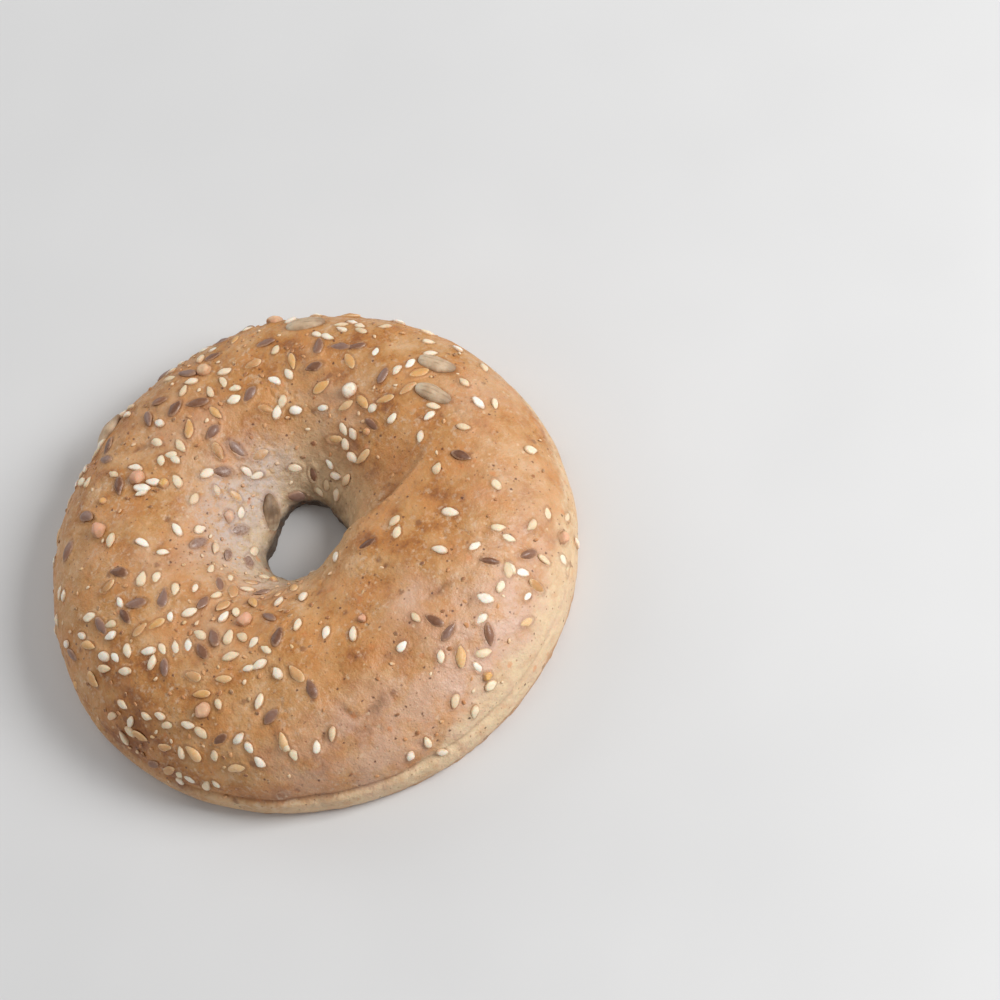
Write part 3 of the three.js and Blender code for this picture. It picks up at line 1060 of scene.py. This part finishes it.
def zoned(n, base, flour):
    """The crust's zones over its own colour, each on top of those before it; the near-black bottom of the
    hole and much of the marks are painted shade, and the pink zone is partly painted sheen.
    """
    uneven = n.spread(n.noise(2.4, 4, 0.6), 0.3, 0.62, 0.35, 1)
    patchy = n.spread(n.noise(5, 5, 0.6), 0.38, 0.56, 0.35, 1)
    stain = n.spread(n.noise(2.2, 5, 0.65), 0.48, 0.6, 0, 0.4)
    for share, strength, tint in (
        # The pink zone, partly painted sheen
        (n.read("pink"), patchy, colour(208, 171, 148)),
        (n.read("wall"), 0.8, colour(208, 188, 154)),
        (n.read("wall"), stain, colour(132, 98, 68)),
        (n.read("ridge"), uneven, colour(200, 166, 120)),
        (flour, 0.88, colour(200, 185, 177)),
        (n.read("lip"), uneven, colour(221, 195, 158)),
        (n.read("toasted"), uneven, colour(178, 126, 80)),
        # Near-black painted shade at the bottom of the hole
        (n.read("painted_hole_shade"), 0.92, colour(62, 44, 32)),
        # The marks' dark colour: painted shade in creases, pits, the groove and beside the seeds, and
        # dark flecks of the crust
        (n.read("mark"), 0.9, colour(120, 70, 40)),
    ):
        base = n.mix(n.math("MULTIPLY", share, strength, clamp=True), base, tint)
    return base


def crust_material():
    """Browned crust: golden with orange and pinkish clouds, the pink partly painted sheen, bran specks,
    flour, painted shade in the hollows and a fine satin skin.
    """
    n = Nodes("crust")
    flour = n.math("MULTIPLY", n.read("flour"), n.spread(n.noise(1.6, 6, 0.75), 0.4, 0.54, 0.15, 1))
    n.put(n.shader.inputs["Base Color"], bran(n, zoned(n, browning(n), flour)))
    rough = n.spread(n.noise(2.2, 3), 0.3, 0.7, 0.42, 0.6)
    rough = n.math("ADD", rough, n.math("MULTIPLY", flour, 0.25))
    n.put(n.shader.inputs["Roughness"], rough)
    skin = n.math("ADD", n.noise(0.5, 2, 0.5), n.math("MULTIPLY", n.noise(1.6, 3, 0.55), 3))
    n.bump(skin, 0.13)
    return n.finish(Subsurface_Weight=0.08, Subsurface_Scale=0.0015)


def bran(n, base):
    """Specks of bran over a base colour, from fine dark dots to flakes, and a few pale grains."""
    for spacing, radius, share, strength, tint in (
        (1.2, 0.25, 0.5, 0.6, colour(124, 78, 50)),
        (2.3, 0.36, 0.55, 0.85, colour(94, 56, 38)),
        (5.5, 0.9, 0.5, 0.6, colour(126, 80, 52)),
        (2.1, 0.45, 0.35, 0.45, colour(228, 200, 166)),
        (4.4, 0.8, 0.4, 0.5, colour(204, 126, 68)),
    ):
        base = n.mix(n.math("MULTIPLY", n.specks(spacing, radius, share), strength), base, tint)
    return base


def crumb_material():
    """The cut crumb: beige, darker down its pores with painted shade, with the crust's brown line round
    it.
    """
    n = Nodes("crumb")
    # Painted shade: the deeper in a pore, the darker
    tint = n.ramp(
        n.spread(n.read("pore"), 0.1, 3.2),
        [
            (0.0, colour(216, 197, 177)),
            (0.35, colour(198, 172, 142)),
            (1.0, colour(152, 118, 84)),
        ],
    )
    tint = n.mix(n.spread(n.noise(1.2, 5, 0.65), 0.35, 0.7, 0, 0.4), tint, colour(196, 166, 132))
    tint = n.mix(n.spread(n.read("rim"), 1.6, 0.4, 0, 0.8), tint, colour(172, 124, 80))
    tint = n.mix(n.math("MULTIPLY", n.specks(2.2, 0.3, 0.25), 0.6), tint, colour(130, 92, 66))
    n.put(n.shader.inputs["Base Color"], tint)
    n.put(n.shader.inputs["Roughness"], n.spread(n.noise(1, 3), 0.3, 0.7, 0.75, 0.95))
    n.bump(n.noise(0.45, 4, 0.7), 0.25)
    return n.finish(Subsurface_Weight=0.12, Subsurface_Scale=0.0015)


def dusting(n):
    """How far flour hides a seed's own colour."""
    return n.math("MULTIPLY", n.read("dust"), n.spread(n.noise(0.7, 4, 0.7), 0.4, 0.6, 0.1, 0.55))


def reach(n):
    """How far from a seed's middle a point is, from 0 to 0.5 at its rim."""
    squares = [n.math("POWER", n.read(name), 2) for name in ("along", "across")]
    return n.math("SQRT", n.math("ADD", *squares))


def seed_material(name, tones, rim, rough, depth, **constants):
    """A seed's coat: a tone of its own, a rim of another that is partly painted shade on sesame and a
    painted highlight on brown flax, with a faint grain along it.
    """
    n = Nodes(name)
    own = n.math("ADD", n.read("tone"), n.spread(n.noise(0.6, 3), 0.3, 0.7, -0.12, 0.12), clamp=True)
    tint = n.ramp(own, [(i / (len(tones) - 1), tone) for i, tone in enumerate(tones)])
    uneven = n.spread(n.noise(0.5, 2), 0.3, 0.7, -0.05, 0.05)
    # The rim at the seed's outline: partly its own edge, partly painted shade on the sesame and a painted
    # highlight on the brown flax
    edge = n.spread(n.math("ADD", reach(n), uneven), 0.34, 0.47)
    tint = n.mix(n.math("MULTIPLY", edge, 0.85), tint, rim)
    tint = n.mix(dusting(n), tint, colour(208, 192, 182))
    n.put(n.shader.inputs["Base Color"], tint)
    n.put(n.shader.inputs["Roughness"], n.spread(n.noise(0.8, 2), 0.3, 0.7, rough, rough + 0.15))
    n.bump(n.noise(0.3, 3), depth)
    return n.finish(**constants)


def kernel_material():
    """Hulled sunflower kernels: grey-beige with darker stripes along them, with painted shade on them
    inside the hole.
    """
    n = Nodes("kernel")
    stripes = n.math("SINE", n.math("MULTIPLY", n.read("across"), 24))
    streak = n.math("MULTIPLY", n.spread(stripes, 0, 1), n.spread(n.noise(1.8, 3), 0.4, 0.6))
    tint = n.ramp(n.noise(1.6, 4), [(0.3, colour(204, 178, 148)), (0.7, colour(182, 152, 120))])
    tint = n.mix(n.math("MULTIPLY", streak, 0.6), tint, colour(140, 112, 86))
    tint = n.mix(n.spread(n.read("along"), 0.25, 0.5, 0, 0.75), tint, colour(126, 96, 70))
    # Painted shade on the kernels inside the hole, darkest in their middles
    cloudy = n.spread(n.noise(2, 3), 0.36, 0.6, 0.45, 0.85)
    shaded = n.math("MULTIPLY", cloudy, n.spread(reach(n), 0.2, 0.48, 1, 0.5))
    tint = n.mix(n.math("MULTIPLY", n.read("dark"), shaded), tint, colour(92, 70, 50))
    broken = n.spread(n.noise(1.2, 3), 0.35, 0.55, 0.3, 0.8)
    pale = n.math("MULTIPLY", n.spread(n.read("along"), -0.26, -0.44), broken)
    tint = n.mix(pale, tint, colour(206, 192, 166))
    n.put(n.shader.inputs["Base Color"], tint)
    n.put(n.shader.inputs["Roughness"], n.spread(n.noise(1, 2), 0.3, 0.7, 0.5, 0.65))
    n.bump(n.noise(0.6, 3), 0.08)
    return n.finish(Subsurface_Weight=0.1, Subsurface_Scale=0.001)


def seed_coat(kind):
    """The material of a kind of seed."""
    if kind == "kernel":
        return kernel_material()
    tones, rim, rough, depth, settings = COATS[kind]
    return seed_material(kind, [colour(*tone) for tone in tones], colour(*rim), rough, depth, **settings)


def all_seeds(seeds, frames):
    """One piece for each kind of seed."""
    pieces = []
    for name, kind, tones, cuts in SEED_PIECES:
        shape = drop_shape(*SEED_SHAPES[kind])
        pieces.append(seed_piece(name, kind, seeds, frames, shape, seed_coat(kind), tones, cuts))
    return pieces


# Floor, light and camera

# Half the floor's side, in millimetres
FLOOR_HALF = 4000

# Each light's direction from +X towards +Y, its elevation, its side in metres and its power
LIGHTS = {"key": (-30, 40, 0.42, 7.2), "helper": (105, 25, 0.6, 2), "fill": (175, 20, 0.6, 0.6)}
LIGHT_DISTANCE = 0.9
SKY_STRENGTH = 0.36


def floor_material():
    """Plain pale floor, slightly uneven in tone."""
    n = Nodes("floor")
    tint = n.ramp(n.noise(60, 2), [(0.3, colour(216, 216, 216)), (0.7, colour(220, 220, 220))])
    n.put(n.shader.inputs["Base Color"], tint)
    return n.finish(Roughness=0.8)


def make_floor():
    """A wide floor under the bagel."""
    corners = FLOOR_HALF * np.array([[-1, -1, 0], [1, -1, 0], [1, 1, 0], [-1, 1, 0]])
    floor = make_mesh("floor", corners, np.array([[0, 1, 2, 3]]))
    floor.data.materials.append(floor_material())


def area_light(name, azimuth, elevation, size, watts):
    """A soft square light that looks at the bagel."""
    light = bpy.data.lights.new(name, "AREA")
    light.size = size
    light.energy = watts
    obj = bpy.data.objects.new(name, light)
    a, e = math.radians(azimuth), math.radians(elevation)
    away = Vector((math.cos(a) * math.cos(e), math.sin(a) * math.cos(e), math.sin(e)))
    obj.location = away * LIGHT_DISTANCE
    obj.rotation_mode = "QUATERNION"
    obj.rotation_quaternion = away.to_track_quat("Z", "Y")
    bpy.context.scene.collection.objects.link(obj)


def make_lights():
    """A large soft key on the right, weak lights behind and on the left, and an even pale sky."""
    for name, (azimuth, elevation, size, watts) in LIGHTS.items():
        area_light(name, azimuth, elevation, size, watts)
    world = bpy.data.worlds.new("sky")
    world.use_nodes = True
    background = world.node_tree.nodes["Background"]
    background.inputs["Color"].default_value = (1, 1, 1, 1)
    background.inputs["Strength"].default_value = SKY_STRENGTH
    bpy.context.scene.world = world


# The photo's view: the bagel's middle lies at this pixel, seen from this elevation, turned by this roll
PHOTO_SIZE = 1000
MIDDLE_PIXEL = (319.14, 570.51)
PIXELS_PER_MM = 4.78
VIEW_ELEVATION = 59.5
VIEW_ROLL = 32
VIEW_DISTANCE = 900
SENSOR_WIDTH = 36


def make_camera():
    """A long lens that sees the bagel as the photo does."""
    elevation, roll = math.radians(VIEW_ELEVATION), math.radians(VIEW_ROLL)
    back = Vector((0, -math.cos(elevation), math.sin(elevation)))
    level_up = Vector((0, math.sin(elevation), math.cos(elevation)))
    right = math.cos(roll) * Vector((1, 0, 0)) - math.sin(roll) * level_up
    up = math.sin(roll) * Vector((1, 0, 0)) + math.cos(roll) * level_up
    across = (PHOTO_SIZE / 2 - MIDDLE_PIXEL[0]) / PIXELS_PER_MM
    above = (MIDDLE_PIXEL[1] - PHOTO_SIZE / 2) / PIXELS_PER_MM
    ring_middle = Vector((*RING_SHIFT, 0))
    eye = ring_middle + back * VIEW_DISTANCE
    aim = ring_middle + right * across + up * above
    back = (eye - aim).normalized()
    right = up.cross(back).normalized()
    up = back.cross(right)
    data = bpy.data.cameras.new("camera")
    data.sensor_width = SENSOR_WIDTH
    data.lens = SENSOR_WIDTH * VIEW_DISTANCE * PIXELS_PER_MM / PHOTO_SIZE
    data.clip_start = 0.05
    data.clip_end = 20
    camera = bpy.data.objects.new("camera", data)
    camera.matrix_world = Matrix.Translation(eye * MM) @ Matrix((right, up, back)).transposed().to_4x4()
    bpy.context.scene.collection.objects.link(camera)
    bpy.context.scene.camera = camera


def main():
    """Builds every piece, the floor, the lights and the camera."""
    seeds = lay_out_seeds()
    frames = seed_frames(seeds)
    for piece in [bread(seeds, frames)] + all_seeds(seeds, frames):
        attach(piece, "root")
        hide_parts("bagel")
    make_floor()
    make_lights()
    make_camera()
    bpy.context.scene.view_settings.view_transform = "Standard"


main()
